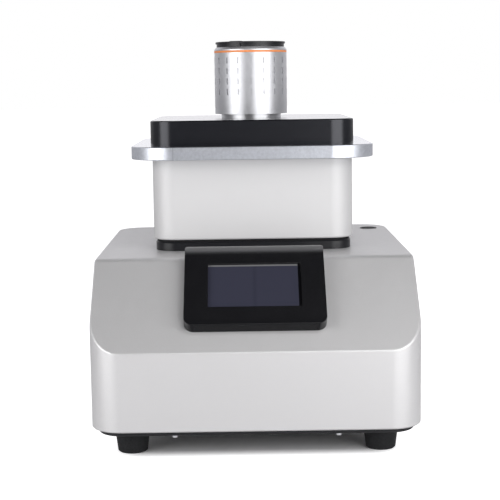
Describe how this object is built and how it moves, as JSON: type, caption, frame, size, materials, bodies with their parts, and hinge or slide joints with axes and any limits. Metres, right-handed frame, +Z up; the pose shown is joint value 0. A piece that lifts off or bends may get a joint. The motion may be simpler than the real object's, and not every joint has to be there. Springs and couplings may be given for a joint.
{
  "type": "ultra centrifugal mill",
  "caption": "Bench mill with a sloped-front base, a sloping touch display, a square grinding chamber under a hinged lid, and a round feed hopper with a cap.",
  "frame": {"origin": "centre of the footprint at the height of the feet's undersides", "axes": "+Z up, -Y the front with the display, +X to the right seen from the front"},
  "size_m": [0.386, 0.456, 0.484],
  "materials": {
    "housing_paint": "light grey satin paint",
    "tray_black": "satin black",
    "foot_rubber": "matt black rubber",
    "steel": "plain steel",
    "stainless": "turned stainless steel",
    "bezel_black": "gloss black",
    "display_glass": "dark cover glass",
    "module_grey": "matt grey",
    "board_green": "circuit board green",
    "panel_black": "black powder coat",
    "plastic_black": "matt black",
    "plinth_black": "satin black",
    "gasket_black": "soft black",
    "casing_silver": "fine satin silver",
    "plate_aluminium": "milled and polished",
    "cover_black": "satin black",
    "motor_aluminium": "cast aluminium",
    "stator_iron": "laminated iron",
    "ring_orange": "orange silicone",
    "cap_black": "satin black",
    "rocker_black": "gloss black",
    "button_dark": "dark"
  },
  "bodies": {
    "base": {"base_housing": "housing_paint", "base_plate": "tray_black", "foot_front_left": "foot_rubber", "foot_front_right": "foot_rubber", "foot_rear_left": "foot_rubber", "foot_rear_right": "foot_rubber", "base_plate_screws": "steel", "motor_drive": "motor_aluminium", "display_bezel": "bezel_black", "display_glass": "display_glass", "lcd_module": "module_grey", "control_board": "board_green", "rear_panel": "panel_black", "power_entry_module": "plastic_black", "fan_frame": "plastic_black", "power_button_bezel": "stainless", "motor_mount_plate": "motor_aluminium", "motor_housing": "motor_aluminium", "motor_stator": "stator_iron", "motor_upper_shield": "motor_aluminium", "motor_lower_shield": "motor_aluminium", "bearing_outer_races": "steel", "shaft_housing": "motor_aluminium", "shaft_seal": "gasket_black", "plinth": "plinth_black", "chamber_gasket": "gasket_black", "chamber_casing": "casing_silver", "grinding_chamber": "stainless", "collecting_cassette": "stainless", "cassette_lid": "stainless", "ring_sieve": "stainless", "hinge_brackets": "stainless", "hinge_pins": "steel", "lock_solenoid": "steel"},
    "lid": {"lid_plate": "plate_aluminium", "lid_cover": "cover_black", "lid_liner": "stainless", "lid_seal": "gasket_black", "lid_hinge_arms": "stainless", "lid_striker": "steel", "feed_neck": "stainless"},
    "hopper": {"hopper_sleeve": "stainless", "hopper_funnel": "stainless", "hopper_ring": "ring_orange"},
    "cap": {"feed_cap": "cap_black"},
    "rotor": {"motor_shaft": "steel", "motor_rotor_core": "stator_iron", "bearing_inner_races": "steel", "mill_rotor": "stainless", "rotor_cap_nut": "stainless"},
    "fan": {"fan_impeller": "plastic_black"},
    "rocker": {"mains_rocker": "rocker_black"},
    "button": {"power_button": "button_dark"},
    "bolt": {"lock_bolt": "steel"}
  },
  "joints": [
    {"name": "lid_hinge", "type": "hinge", "parent": "base", "child": "lid", "pos_m": [0, 0.204, 0.325], "axis": [-1, 0, 0], "range_deg": [0, 95]},
    {"name": "hopper_lift", "type": "slide", "parent": "lid", "child": "hopper", "axis": [0, 0, 1], "range_m": [0, 0.04]},
    {"name": "cap_lift", "type": "slide", "parent": "hopper", "child": "cap", "axis": [0, 0, 1], "range_m": [0, 0.04]},
    {"name": "rotor_spin", "type": "hinge", "parent": "base", "child": "rotor", "pos_m": [0, 0.0653, 0.29], "axis": [0, 0, 1], "continuous": true},
    {"name": "fan_spin", "type": "hinge", "parent": "base", "child": "fan", "pos_m": [0.082, 0.2085, 0.121], "axis": [0, 1, 0], "continuous": true},
    {"name": "rocker_tilt", "type": "hinge", "parent": "base", "child": "rocker", "pos_m": [-0.095, 0.2203, 0.103], "axis": [-1, 0, 0], "range_deg": [0, 20]},
    {"name": "button_press", "type": "slide", "parent": "base", "child": "button", "axis": [0, 0, -1], "range_m": [0, 0.002], "stiffness_N_per_m": 400},
    {"name": "lock_bolt_slide", "type": "slide", "parent": "base", "child": "bolt", "axis": [1, 0, 0], "range_m": [0, 0.012]}
  ]
}
